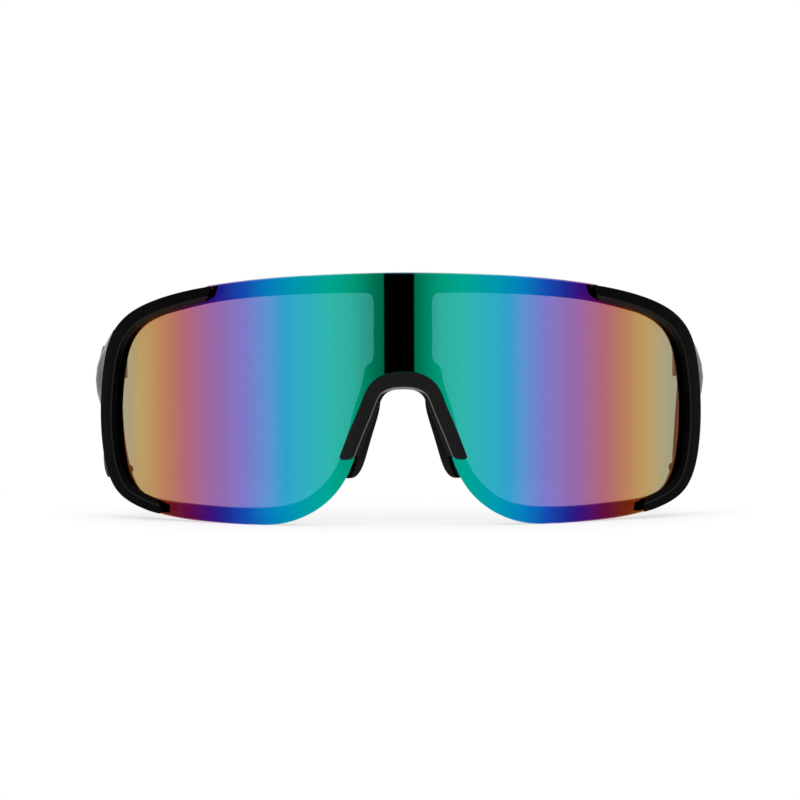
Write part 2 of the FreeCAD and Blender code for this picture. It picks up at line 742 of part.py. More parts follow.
def section(distance, middle_x, thickness, height, lift=0, crowns=(0, 0), inner_crown=0):
    """A slice square to the path. The outer face bulges past its upper and lower edges by the crowns."""
    back, level, slope = path(distance)
    up = Vector(0, math.sin(slope), math.cos(slope)) * (height / 2)
    out = Vector(thickness / 2, 0, 0)
    centre = Vector(middle_x, hinge_y + back, level + lift)
    upper_crown, lower_crown = (Vector(crown, 0, 0) for crown in crowns)
    inner = Vector(inner_crown, 0, 0)
    lower_in, upper_in = centre - out + inner - up, centre - out + inner + up
    upper_out, lower_out = centre + out - upper_crown + up, centre + out - lower_crown - up
    edges = [open_curve([lower_in, centre - out, upper_in]), Part.LineSegment(upper_in, upper_out),
             open_curve([upper_out, centre + out, lower_out]), Part.LineSegment(lower_out, lower_in)]
    return Part.Wire([edge.toShape() for edge in edges])


root_x = side_x(hinge_height)
root_crowns = [root_x - side_x(hinge_height + side * lug_height / 2) for side in (1, -1)]


def bowed(distance):
    """How far the temple has gone from its root's form to its arm's, from 0 to 1."""
    return ease(distance / (size.temple_flare * BOW_SHARE))


def outer_x(distance):
    """The temple's outer face bows out behind the bracket and then runs straight back."""
    return root_x + size.temple_bow * bowed(distance)


def thickness_at(distance):
    """The inner face stays flat under the hinge leaf, and then the temple thins to its arm."""
    past_leaf = distance - size.temple_leaf_length
    return between(outer_x(distance) - mount_x, size.temple_thickness, ease(past_leaf / size.temple_flare))


def arm_section(distance):
    thickness = thickness_at(distance)
    crowns = [between(crown, size.temple_crown, bowed(distance)) for crown in root_crowns]
    height = between(lug_height, size.temple_height, ease(distance / size.temple_flare))
    lift = size.temple_drop * (1.0 - bowed(distance))
    middle = outer_x(distance) - thickness / 2
    return section(max(distance, arm_start), middle, thickness, height, lift, crowns)


def middle_x(distance):
    return outer_x(distance) - size.temple_thickness / 2


def spigot(name, clearance):
    """The tongue that the rubber tip is pushed on to, or the pocket for it with a clearance all round."""
    first = tip_start - size.tip_lead
    last = tip_start + size.spigot_length + clearance
    thickness = size.spigot_thickness + 2 * clearance
    height = size.spigot_height + 2 * clearance
    places = [first] + steps(first, last, SPIGOT_SLICE_COUNT)
    return loft(name, [section(place, middle_x(place), thickness, height) for place in places])


arm_places = [0] + steps(0, size.temple_flare, FLARE_SLICE_COUNT)
arm_places += steps(size.temple_flare, tip_start, ARM_SLICE_COUNT)
temple_arm = loft("temple_arm", [arm_section(place) for place in arm_places])
temple_solid = fuse("temple_solid", temple_arm, spigot("temple_spigot", 0))
left_temple = cut("left_temple", temple_solid, temple_leaf_holes)


# Rubber temple tip: a thicker sleeve that follows the bend and ends rounded on the floor

def tip_section(distance, full_share):
    crown = size.tip_crown * full_share
    thickness = size.tip_thickness * full_share
    return section(distance, middle_x(distance), thickness, size.tip_height * full_share,
                   crowns=(crown, crown), inner_crown=crown)


bend_end = size.ear_distance + bend_length
tip_places = [tip_start + size.seat_gap, size.ear_distance]
tip_places += steps(size.ear_distance, bend_end, BEND_SLICE_COUNT)
tip_places += steps(bend_end, end_start, RUN_SLICE_COUNT)
tip_slices = [tip_section(place, 1.0) for place in tip_places]
tip_slices += [tip_section(end_start + end_length * share, full) for share, full in END_SHARES]
tip_sleeve = loft("tip_sleeve", tip_slices)
left_temple_tip = cut("left_temple_tip", tip_sleeve, spigot("spigot_pocket", size.spigot_gap))

# The pieces of the object, each under its own name
left_pieces = [left_side_bracket, left_bracket_screws, left_nose_pad, left_frame_hinge,
               left_frame_leaf_screws, left_temple_hinge, left_temple_leaf_screws, left_hinge_screw,
               left_temple, left_temple_tip]
pieces = [shield_lens, rear_frame, nose_bridge] + left_pieces
pieces += [mirror(piece.Name.replace("left_", "right_"), piece) for piece in left_pieces]
document.recompute()

for item in document.Objects:
    if "Invalid" in item.State or "Error" in item.State:
        raise RuntimeError(f"{item.Name} did not build: {item.State}")
for piece in pieces:
    piece.Label = piece.Name
    if piece.Shape.isNull() or not piece.Shape.isValid() or not piece.Shape.Solids:
        raise RuntimeError(f"{piece.Name} has no sound solid")

os.makedirs("parts", exist_ok=True)
for piece in pieces:
    piece.Shape.exportStep(f"parts/{piece.Label}.step")
    print(piece.Label, len(piece.Shape.Solids), round(piece.Shape.Volume, 2))
print("hinge axis", round(hinge_x, 3), round(hinge_y, 3), "lens axis", round(axis_y, 3))
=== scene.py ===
import math

import bmesh
import bpy
import numpy as np
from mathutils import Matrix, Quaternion, Vector


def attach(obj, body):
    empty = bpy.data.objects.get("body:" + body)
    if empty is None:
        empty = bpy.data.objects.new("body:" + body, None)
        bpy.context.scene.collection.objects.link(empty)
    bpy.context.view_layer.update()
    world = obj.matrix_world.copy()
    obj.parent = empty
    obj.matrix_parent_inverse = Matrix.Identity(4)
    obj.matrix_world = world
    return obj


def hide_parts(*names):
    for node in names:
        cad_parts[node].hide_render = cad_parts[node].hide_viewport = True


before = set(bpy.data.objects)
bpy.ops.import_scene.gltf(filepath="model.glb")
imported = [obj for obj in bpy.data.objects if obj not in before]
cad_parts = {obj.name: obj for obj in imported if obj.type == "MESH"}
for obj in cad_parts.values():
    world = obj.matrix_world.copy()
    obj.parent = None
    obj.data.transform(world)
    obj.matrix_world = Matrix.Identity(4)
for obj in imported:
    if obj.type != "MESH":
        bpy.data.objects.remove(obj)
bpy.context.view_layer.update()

# Shield sunglasses, dressed: the mirror shield, its brackets, nose arch, pads, temples and ear sleeves are
# surfaces worked out here in millimetres, in the CAD frame. The rear frame, hinges and screws stay as CAD,
# and a thin trim finishes the outer side of each of the frame's two openings.

MM = 0.001
SIDES = {"left": 1, "right": -1}

# The lens and the rear frame, in millimetres. A wall's place is its radius from the lens's upright axis.
HALF_WIDTH = 76.5
LENS_HEIGHT = 63.8
LENS_WRAP = math.radians(53.6)
LENS_THICKNESS = 1.8
FRAME_THICKNESS = 3.0
SEAT_GAP = 0.05
AXIS_Y = 14.17
LENS_FRONT = HALF_WIDTH / math.sin(LENS_WRAP)
LENS_BACK = LENS_FRONT - LENS_THICKNESS
FRAME_BACK = LENS_BACK - SEAT_GAP - FRAME_THICKNESS

# The brackets: a lip on the lens's front, a wall round its edge, and a lug for the hinge
LIP_PROUD = 2.0
LIP_BACK = LENS_FRONT + SEAT_GAP
LIP_FRONT = LIP_BACK + LIP_PROUD
BRACKET_BEHIND = 0.8
BRACKET_BACK = FRAME_BACK - BRACKET_BEHIND
BRACKET_WALL = 1.1
LIP_WIDTH = 3.6
BRACKET_SLANT = 2.4
BRACKET_BEVEL = 1.4
BRACKET_LEAN = 0.6
BRACKET_ROUNDING = 0.35
NUB_LENGTH = 3.5
NUB_BULGE = 0.25
NUB_CUT = 2.5
NUB_INSET = 0.15
LUG_HEIGHT = LENS_HEIGHT * 0.28
LUG_OVERLAP = 0.1
LUG_LEAST = 0.5
LUG_ROUNDING = 0.24
LUG_END_SHARE = 0.05

# The trims of the eye openings
TRIM_WIDTH = 1.5
TRIM_FRONT = LENS_BACK - 0.1
TRIM_BACK = FRAME_BACK + 0.2

# The nose arch and the pads
BRIDGE_PROUD = 1.9
BRIDGE_FRONT = LIP_BACK + BRIDGE_PROUD
BRIDGE_WIDTH = 3.7
BRIDGE_GAP = 0.1
BRIDGE_WEB = 0.7
BRIDGE_ROUNDING = 0.7
# The slope inside the arch, at its sides and under its top: where it starts, how wide it is, how far it falls
ARCH_SLOPE = ((0.4, -0.05), (0.5, 0.8), (1.5, 2.3))
SLOPE_STEP = 0.3
WEB_DRAFT = 0.02
FOOT_SLANT = 1.8
FOOT_BULGE = 0.6
FOOT_SHARE = 0.1
PAD_Y = -74.42
PAD_FOOT = 11.5
PAD_TOP = 33.745
PAD_DEPTH = 8.5
PAD_SHOULDER = 0.72
PAD_THICKNESS = 4.0
PAD_LEAN = 1.2
PAD_SPLAY = math.radians(28)
PAD_FOOT_POWER, PAD_TOP_POWER = 5.0, 3.0
PAD_END_ANGLE = 0.09
WEB_BACK_Y = PAD_Y + 2.1
GROOVE_HALF = 0.44
GROOVE_DEPTH = 2.15
GROOVE_SHIFT = 0.8
GROOVE_SHIFT_SHARE = 0.27

# The hinges and the temples. A distance along a temple starts at its hinge.
HINGE_Y = -33.016
HINGE_Z = 37.961
HALF_JOINT_GAP = 0.15
STOP_Y = HINGE_Y - HALF_JOINT_GAP
MOUNT_X = 72.475
FLARE = 12.0
BOW = 2.45
BOW_LENGTH = FLARE * 0.55
ARM_HEIGHT = 9.0
ARM_THICKNESS = 2.4
ARM_THINNING = 9.5
ARM_CROWN = 1.3
ARM_DROP = 4.5
ARM_ROUNDING = 0.3
ROOT_EDGE, ARM_EDGE = 0.4, 0.6
EAR_DISTANCE = 66.0
BEND_RADIUS = 30.0
BEND = math.radians(40.0)
ARM_Z = HINGE_Z - ARM_DROP
TIP_START = EAR_DISTANCE - 4.0
TIP_HEIGHT = 10.0
TIP_THICKNESS = 3.0
TIP_CROWN_SHARE = 0.65
TIP_EDGE_SHARE = 0.3
TIP_ROUNDING = 0.5
TIP_END = TIP_HEIGHT / 2
# The last ring stops just short of the sleeve's end, where it would be a point
TIP_END_SHARE = 0.992

# Half of the front's outline, as shares of half its width and of the lens's height, clockwise from the top
OUTLINE_SHARES = np.array([
    (0.0, 1.0), (0.208, 0.9935), (0.416, 0.977), (0.627, 0.941), (0.722, 0.915), (0.823, 0.873),
    (0.905, 0.815), (0.958, 0.737), (0.987, 0.621), (0.998, 0.494), (1.0, 0.398), (0.9935, 0.279),
    (0.975, 0.175), (0.939, 0.1), (0.871, 0.051), (0.8, 0.026), (0.637, 0.005), (0.507, 0.0),
    (0.403, 0.007), (0.315, 0.043), (0.242, 0.105), (0.192, 0.182), (0.158, 0.275), (0.137, 0.341),
    (0.114, 0.408), (0.0915, 0.474), (0.068, 0.529), (0.038, 0.549), (0.0, 0.554),
])
# The outline's points by number: the side's upper end and its widest point, the notch from its foot to its top,
# and where bracket and arch begin and end
SIDE_TOP, WIDEST = 5, 10
NOTCH_FOOT, NOTCH_TOP = 18, 28
BRACKET_FIRST, BRACKET_LAST = 3, 15
BRIDGE_FIRST, BRIDGE_LAST = 22, 34
# The outer edge of each eye's clear view, from its top to its bottom, which a thin trim on the frame gives
TRIM_SHARES = np.array([
    (0.77, 0.822), (0.815, 0.796), (0.855, 0.76), (0.896, 0.684), (0.9125, 0.608), (0.9205, 0.537),
    (0.9255, 0.467), (0.9265, 0.43), (0.925, 0.384), (0.92, 0.3135), (0.911, 0.243), (0.896, 0.174),
    (0.884, 0.139), (0.865, 0.106), (0.8, 0.075),
])
# The width of the bracket's lip at each of the outline's points along it
LIP_WIDTHS = LIP_WIDTH * np.array([
    1.1, 1.17, 1.2, 1.24, 1.24, 1.21, 1.18, 1.16, 1.16, 1.13, 1.08, 1.03, 0.97,
])


# Curves and profiles

def smooth(share):
    """A step from 0 to 1 with level ends: three squares less two cubes."""
    share = np.clip(share, 0.0, 1.0)
    return share * share * (3.0 - 2.0 * share)


def spline(points, places, closed=False):
    """A smooth curve through points, read at places that are counted in points.

    Between neighbours it is a cubic, timed by the distance between them, and the bends of two cubics agree
    where they meet. A closed curve goes round; an open one has no bend at its ends. Gives points and
    directions.
    """
    points = np.asarray(points, float)
    following = np.roll(points, -1, axis=0)
    gaps = np.linalg.norm(following - points, axis=1)
    slopes = (following - points) / gaps[:, None]
    before = np.roll(gaps, 1)
    unit = np.eye(len(points))
    matrix = unit * (2 * (gaps + before))[:, None]
    matrix += np.roll(unit, 1, axis=1) * gaps[:, None] + np.roll(unit, -1, axis=1) * before[:, None]
    right = 6 * (slopes - np.roll(slopes, 1, axis=0))
    if not closed:
        matrix[[0, -1]] = unit[[0, -1]]
        right[[0, -1]] = 0
    bends = np.linalg.solve(matrix, right)
    first = np.clip(np.floor(places).astype(int), 0, len(points) - (1 if closed else 2))
    last = (first + 1) % len(points)
    share = (places - first)[..., None]
    rest = 1 - share
    gap = gaps[first][..., None] ** 2 / 6
    curve = rest * points[first] + share * points[last]
    curve = curve + gap * ((rest ** 3 - rest) * bends[first] + (share ** 3 - share) * bends[last])
    heading = points[last] - points[first]
    heading = heading + gap * ((1 - 3 * rest ** 2) * bends[first] + (3 * share ** 2 - 1) * bends[last])
    return curve, heading / np.linalg.norm(heading, axis=-1, keepdims=True)


HALF_OUTLINE = OUTLINE_SHARES * (HALF_WIDTH, LENS_HEIGHT)
OUTLINE = np.concatenate([HALF_OUTLINE, HALF_OUTLINE[-2:0:-1] * (-1, 1)])


def outline(places):
    """The front's outline in the front view, and the directions that point from it into the lens."""
    curve, heading = spline(OUTLINE, places, closed=True)
    return curve, np.stack([heading[..., 1], -heading[..., 0]], axis=-1)


def outline_run(first, last, spare=1.0):
    """Distances along the outline from one place, and the places that they belong to."""
    places = np.linspace(first - spare, last + spare, 1600)
    steps = np.linalg.norm(np.diff(outline(places)[0], axis=0), axis=1)
    run = np.concatenate([[0.0], np.cumsum(steps)])
    start, end = np.interp((first, last), places, run)
    return run - start, places, end - start


def side_x(level):
    """Half the front's width at a level above its widest point, straight between the outline's points."""
    side = HALF_OUTLINE[SIDE_TOP:WIDEST + 1][::-1]
    return np.interp(level, side[:, 1], side[:, 0])


def wrapped(x, z, radius):
    """A front-view point carried back to a round wall: a radius from the lens's upright axis."""
    return np.stack([x, AXIS_Y - np.sqrt(radius ** 2 - x ** 2), z], axis=-1)


def profiles(count, *corners):
    """The corners of a profile at a number of places. Each coordinate is one number or a row of them."""
    rows = [[np.broadcast_to(value, count) for value in corner] for corner in corners]
    return np.stack([np.stack(row, axis=-1) for row in rows], axis=1)


def filleted(corners, radii, count=5):
    """A closed profile with rounded corners: each is a quadratic curve that starts and ends a radius from the
    corner."""
    before = np.roll(corners, 1, axis=-2) - corners
    after = np.roll(corners, -1, axis=-2) - corners
    radii = np.asarray(radii)[..., None]
    start = corners + before / np.linalg.norm(before, axis=-1, keepdims=True) * radii
    end = corners + after / np.linalg.norm(after, axis=-1, keepdims=True) * radii
    share = np.linspace(0, 1, count)[:, None]
    curve = (1 - share) ** 2 * start[..., None, :] + 2 * share * (1 - share) * corners[..., None, :]
    curve = curve + share ** 2 * end[..., None, :]
    return curve.reshape(*corners.shape[:-2], -1, corners.shape[-1])


def eased_ends(length, edge, count):
    """Places along a piece, and how far its profile is drawn in there: both ends round off over an edge."""
    turn = np.linspace(0, math.pi / 2, 6)
    start = edge * (1 - np.cos(turn))
    middle = np.linspace(edge, length - edge, count)[1:-1]
    drawn = edge * (1 - np.sin(turn))
    places = np.concatenate([start, middle, length - start[::-1]])
    return places, np.concatenate([drawn, 0 * middle, drawn[::-1]])


# Pieces

def piece(name, body, nodes, grids, materials, mirrored=False, sharp=40, strips=()):
    """A piece of closed shells, each from a grid: its rows are rings, joined to the next, with a face on each
    end. The strips of columns have the materials after the first, in their order."""
    points, faces, kinds = [], [], []
    for grid in grids:
        rows, columns = grid.shape[:2]
        index = np.arange(rows * columns).reshape(rows, columns) + sum(len(part) for part in points)
        beside = np.roll(index, -1, axis=1)
        faces += np.stack([index[:-1], beside[:-1], beside[1:], index[1:]], axis=-1).reshape(-1, 4).tolist()
        faces += [index[0].tolist(), index[-1].tolist()]
        column = np.tile(np.arange(columns), rows - 1)
        kind = 0 * column
        for number, (first, last) in enumerate(strips, 1):
            kind[(column >= first) & (column < last)] = number
        kinds.append(np.concatenate([kind, [0, 0]]))
        points.append(grid.reshape(-1, 3))
    points = np.concatenate(points) * MM * ((-1, 1, 1) if mirrored else (1, 1, 1))
    mesh = bpy.data.meshes.new(name)
    mesh.from_pydata(points.tolist(), [], faces)
    mesh.polygons.foreach_set("material_index", np.concatenate(kinds).astype(np.int32))
    return finished(name, mesh, body, nodes, materials, sharp)


def finished(name, mesh, body, nodes, materials, sharp):
    """Turns a mesh's faces outwards, smooths it up to an angle, and hands it to the frame."""
    work = bmesh.new()
    work.from_mesh(mesh)
    bmesh.ops.recalc_face_normals(work, faces=work.faces)
    work.to_mesh(mesh)
    work.free()
    mesh.shade_smooth()
    mesh.set_sharp_from_angle(angle=math.radians(sharp))
    made = bpy.data.objects.new(name, mesh)
    bpy.context.scene.collection.objects.link(made)
    for material in materials:
        mesh.materials.append(material)
    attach(made, body)
    if nodes:
        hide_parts(*nodes)
    return made


# Materials

def linear(code, alpha=1.0):
    """An sRGB hex colour as linear light."""
    tones = np.array([int(code[place:place + 2], 16) / 255 for place in (0, 2, 4)])
    tones = np.where(tones <= 0.04045, tones / 12.92, ((tones + 0.055) / 1.055) ** 2.4)
    return (*tones.tolist(), alpha)


def add(tree, kind, inputs=None, **settings):
    """A node with its settings. An input is a value, or the socket that feeds it."""
    made = tree.nodes.new(kind)
    for name, setting in settings.items():
        setattr(made, name, setting)
    for socket, value in (inputs or {}).items():
        if isinstance(value, bpy.types.NodeSocket):
            tree.links.new(value, made.inputs[socket])
        else:
            made.inputs[socket].default_value = value
    return made


def empty_tree(name):
    """A new material and its node tree, with nothing in it."""
    material = bpy.data.materials.new(name)
    material.use_nodes = True
    material.node_tree.nodes.clear()
    return material, material.node_tree


def shades(tree, share, stops):
    """A row of colours over a share from 0 to 1."""
    ramp = add(tree, "ShaderNodeValToRGB", {"Fac": share})
    elements = ramp.color_ramp.elements
    for place, code in stops[1:-1]:
        elements.new(place).color = linear(code)
    elements[0].position, elements[-1].position = stops[0][0], stops[-1][0]
    elements[0].color, elements[-1].color = linear(stops[0][1]), linear(stops[-1][1])
    return ramp.outputs["Color"]


# The mirror's colours by distance from the middle of the coat, in millimetres, matched to the photograph where
# the hue turns: what it reflects, from green at the nose through blue and purple to brown, and what it lets
# through. The coat's middle lies a little to the wearer's right of the lens's.
COAT_MIDDLE = -1.75
COAT_REACH = HALF_WIDTH - COAT_MIDDLE
# The darker greens nearest the middle are partly the coat's colour and partly a painted reflection of the
# dimmer light beside the dark card that the mirror shows at its middle
MIRROR_COLOURS = [
    (0, "005038"), (5, "006c4c"), (11, "009878"), (17, "00a490"), (25, "0096ac"), (32, "007cbc"),
    (38, "0048b0"), (43, "0a248e"), (46, "2a0e7c"), (52, "560044"), (57, "661410"), (61, "702806"),
    (75, "5c3014"),
]
CLEAR_COLOURS = [
    (0, "468494"), (28, "487c94"), (34, "988092"), (40, "be949e"), (47, "d492a8"), (53, "dc9692"),
    (59, "dcb482"), (64, "e0d48c"), (68, "ccdcae"), (75, "b0d4c8"),
]


def mirror_coat():
    """Hard interference coat on the shield's front: metallic and clean, green at the nose, then blue, purple
    and orange to the sides. What it doesn't reflect goes on into the smoke polycarbonate behind it."""
    material, tree = empty_tree("interference_mirror_coat")
    place = add(tree, "ShaderNodeSeparateXYZ", {0: add(tree, "ShaderNodeTexCoord").outputs["Object"]})
    offset = add(tree, "ShaderNodeMath", {0: place.outputs["X"], 1: COAT_MIDDLE * MM}, operation="SUBTRACT")
    side = add(tree, "ShaderNodeMath", {0: offset.outputs[0]}, operation="ABSOLUTE")
    share = add(tree, "ShaderNodeMapRange", {0: side.outputs[0], 1: 0.0, 2: COAT_REACH * MM})
    reflected = shades(tree, share.outputs[0], [(x / COAT_REACH, code) for x, code in MIRROR_COLOURS])
    passed = shades(tree, share.outputs[0], [(x / COAT_REACH, code) for x, code in CLEAR_COLOURS])
    coat = add(tree, "ShaderNodeBsdfPrincipled", {
        "Base Color": reflected, "Metallic": 1.0, "Roughness": 0.03})
    clear = add(tree, "ShaderNodeBsdfTransparent", {"Color": passed})
    both = add(tree, "ShaderNodeAddShader", {0: coat.outputs[0], 1: clear.outputs[0]})
    add(tree, "ShaderNodeOutputMaterial", {"Surface": both.outputs[0]})
    return material


# Sizes of the patterns, in millimetres: the smoke tint's clouds, the broad patches of moulded pieces and the
# tool marks of turned ones
CLOUD = 16.7
PATCH = 9.0
TOOL_MARK = 1.2
# How far the grain of moulded pieces moves their roughness
ROUGHNESS_SPREAD = 0.06


def smoke_polycarbonate():
    """Dyed polycarbonate with a polished edge: a dark smoke tint that less than half of the light gets
    through."""
    material, tree = empty_tree("smoke_polycarbonate")
    coords = add(tree, "ShaderNodeTexCoord").outputs["Object"]
    cloud = add(tree, "ShaderNodeTexNoise", {"Vector": coords, "Scale": 1 / (CLOUD * MM), "Detail": 2.0})
    tint = shades(tree, cloud.outputs[0], [(0.3, "07080a"), (0.7, "0b0c0f")])
    tinted = add(tree, "ShaderNodeBsdfPrincipled", {
        "Base Color": tint, "Roughness": 0.05, "IOR": 1.58, "Alpha": 0.55})
    add(tree, "ShaderNodeOutputMaterial", {"Surface": tinted.outputs[0]})
    return material


def moulded(name, codes, roughness, level, grain, depth):
    """Moulded plastic or rubber: two close shades in broad patches, and the fine grain that a spark-eroded
    mould leaves, which breaks up the sheen. Patches, grain and its depth are in millimetres, coarse enough to
    show."""
    material, tree = empty_tree(name)
    coords = add(tree, "ShaderNodeTexCoord").outputs["Object"]
    broad = add(tree, "ShaderNodeTexNoise", {"Vector": coords, "Scale": 1 / (PATCH * MM), "Detail": 3.0})
    fine = add(tree, "ShaderNodeTexNoise", {"Vector": coords, "Scale": 1 / (grain * MM), "Detail": 2.0})
    colour = shades(tree, broad.outputs[0], [(0.35, codes[0]), (0.65, codes[1])])
    rough = add(tree, "ShaderNodeMapRange", {
        0: fine.outputs[0], 1: 0.3, 2: 0.7, 3: roughness - ROUGHNESS_SPREAD, 4: roughness + ROUGHNESS_SPREAD})
    bump = add(tree, "ShaderNodeBump", {"Height": fine.outputs[0], "Distance": depth * MM, "Strength": 1.0})
    shell = add(tree, "ShaderNodeBsdfPrincipled", {
        "Base Color": colour, "Roughness": rough.outputs[0], "Specular IOR Level": level,
        "Normal": bump.outputs["Normal"]})
    add(tree, "ShaderNodeOutputMaterial", {"Surface": shell.outputs[0]})
    return material


def painted_height_sheen(material, heights, levels):
    """Paints a sheen by height: fades a moulded material's sheen between two heights in millimetres. Above,
    where the surface turns down to the bright floor, the painted sheen is strong; below, where it turns to the
    lens, it stays dark."""
    tree = material.node_tree
    place = add(tree, "ShaderNodeSeparateXYZ", {0: add(tree, "ShaderNodeTexCoord").outputs["Object"]})
    sheen = add(tree, "ShaderNodeMapRange", {
        0: place.outputs["Z"], 1: heights[0] * MM, 2: heights[1] * MM, 3: levels[0], 4: levels[1]})
    shell = next(node for node in tree.nodes if node.type == "BSDF_PRINCIPLED")
    tree.links.new(sheen.outputs[0], shell.inputs["Specular IOR Level"])
    return material


def turned_steel(name, codes):
    """Machined steel of the hinges and screws, plain or blackened: fine tool marks spread its highlights."""
    material, tree = empty_tree(name)
    coords = add(tree, "ShaderNodeTexCoord").outputs["Object"]
    spread = add(tree, "ShaderNodeMapping", {"Vector": coords, "Scale": (1.0, 1.0, 8.0)})
    marks = add(tree, "ShaderNodeTexNoise", {
        "Vector": spread.outputs[0], "Scale": 1 / (TOOL_MARK * MM), "Detail": 3.0})
    colour = shades(tree, marks.outputs[0], [(0.3, codes[0]), (0.7, codes[1])])
    rough = add(tree, "ShaderNodeMapRange", {0: marks.outputs[0], 1: 0.3, 2: 0.7, 3: 0.25, 4: 0.42})
    metal = add(tree, "ShaderNodeBsdfPrincipled", {
        "Base Color": colour, "Metallic": 1.0, "Roughness": rough.outputs[0]})
    add(tree, "ShaderNodeOutputMaterial", {"Surface": metal.outputs[0]})
    return material


MIRROR = mirror_coat()
SMOKE = smoke_polycarbonate()
# The brackets' faces: almost no sheen, the darkest black
DEEP = moulded("deep_black_nylon", ("040405", "060607"), 0.35, 0.02, 0.35, 0.01)
# The nose arch's satin black, with a soft grey sheen. On the brackets' front edge it is a painted highlight:
# a lighter, shinier copy of their black that draws a grey line along the edge
SATIN_AND_HIGHLIGHT = moulded("satin_nylon_and_painted_highlight", ("0a0a0b", "0d0d0e"), 0.42, 0.12, 0.35, 0.012)
# The brackets' slope: a slightly lighter black with a painted sheen by height, satin along the upper run
# and dark at the sides
BEVEL = painted_height_sheen(moulded("bevel_nylon_painted_sheen", ("050506", "080809"), 0.42, 0.12, 0.35, 0.012),
                     (41.0, 49.0), (0.02, 0.12))
# The temples: smooth enough that their bowed roots mirror the white room as light grey
GLOSSY = moulded("glossy_black_nylon", ("0a0a0b", "0d0d0e"), 0.22, 0.9, 0.35, 0.004)
# The slope inside the nose arch: a narrow bright line
POLISHED = moulded("polished_black_nylon", ("0a0a0b", "0d0d0e"), 0.2, 0.5, 0.4, 0.002)
# The rear frame and its trims: dull, so that it is a plain dark border behind the lens
MATT = moulded("matt_black_nylon", ("0b0b0c", "0f0f10"), 0.55, 0.12, 0.45, 0.02)
# The pads and ear sleeves: soft, a little greyer than the plastic, with no clear highlight
RUBBER = moulded("soft_black_rubber", ("0e0e0f", "121213"), 0.7, 0.15, 0.5, 0.015)
# The hinges and their screws: plain bright metal
STEEL = turned_steel("turned_steel", ("8c8d90", "a9aaac"))
# The bracket screws: dark, so that they stay unseen through the lens
BLACK_STEEL = turned_steel("blackened_steel", ("1b1b1c", "262627"))


# The mirror shield

# Where the lens's edge starts to draw in under a bracket and how soon it has, in points of the outline
SEAT_START, SEAT_RUN = 0.12, 0.3
LENS_COLUMNS, LENS_ROWS = 421, 41
# The outermost columns stop just short of the lens's sides, where its two edges meet
LENS_REACH = 0.997


def lens_edges():
    """The lens's outline from the top of its middle round to the notch. Under a bracket it is set in, to
    clear the bracket's wall."""
    places = np.linspace(0, NOTCH_TOP, 1400)
    points, inwards = outline(places)
    held = smooth((places - BRACKET_FIRST - SEAT_START) / SEAT_RUN)
    held = held * smooth((BRACKET_LAST - SEAT_START - places) / SEAT_RUN)
    return points + inwards * (held * (BRACKET_WALL + SEAT_GAP))[:, None]


def shield_mesh():
    """A grid over the lens: columns that crowd towards the sides, and rows between the lower and the upper
    edge. It is carried back to the front and the back wall, and the two are joined round the edge."""
    edge = lens_edges()
    widest = int(np.argmax(edge[:, 0]))
    across = edge[widest, 0] * np.sin(np.linspace(-LENS_REACH, LENS_REACH, LENS_COLUMNS) * math.pi / 2)
    upper = np.interp(np.abs(across), edge[:widest + 1, 0], edge[:widest + 1, 1])
    lower = np.interp(np.abs(across), edge[widest:, 0][::-1], edge[widest:, 1][::-1])
    share = np.linspace(0, 1, LENS_ROWS)[:, None]
    level = lower + (upper - lower) * share
    x = np.broadcast_to(across, level.shape)
    rows, columns = level.shape
    index = np.arange(rows * columns).reshape(rows, columns)
    quads = np.stack([index[:-1, :-1], index[:-1, 1:], index[1:, 1:], index[1:, :-1]], axis=-1)
    quads = quads.reshape(-1, 4)
    loop = np.concatenate([index[0, :-1], index[:-1, -1], index[-1, :0:-1], index[:0:-1, 0]])
    beside = np.roll(loop, -1)
    back = rows * columns
    rim = np.stack([loop, loop + back, beside + back, beside], axis=-1)
    points = np.concatenate([wrapped(x, level, radius).reshape(-1, 3) for radius in (LENS_FRONT, LENS_BACK)])
    faces = np.concatenate([quads, quads[:, ::-1] + back, rim])
    mesh = bpy.data.meshes.new("mirror_shield")
    mesh.from_pydata((points * MM).tolist(), [], faces.tolist())
    kinds = np.ones(len(mesh.polygons), dtype=np.int32)
    kinds[:len(quads)] = 0
    mesh.polygons.foreach_set("material_index", kinds)
    return mesh


finished("mirror_shield", shield_mesh(), "front", ["shield_lens"], [MIRROR, SMOKE], 40)


# Side brackets. Each corner of the profile has six columns: the third one's are the lip's front edge, which
# carries a painted highlight line in a lighter, shinier black, and the slope follows.
CORNER_COLUMNS = 6
LIP_HIGHLIGHT_COLUMNS = (2 * CORNER_COLUMNS, 3 * CORNER_COLUMNS - 1)
BEVEL_COLUMNS = (3 * CORNER_COLUMNS - 1, 3 * CORNER_COLUMNS)


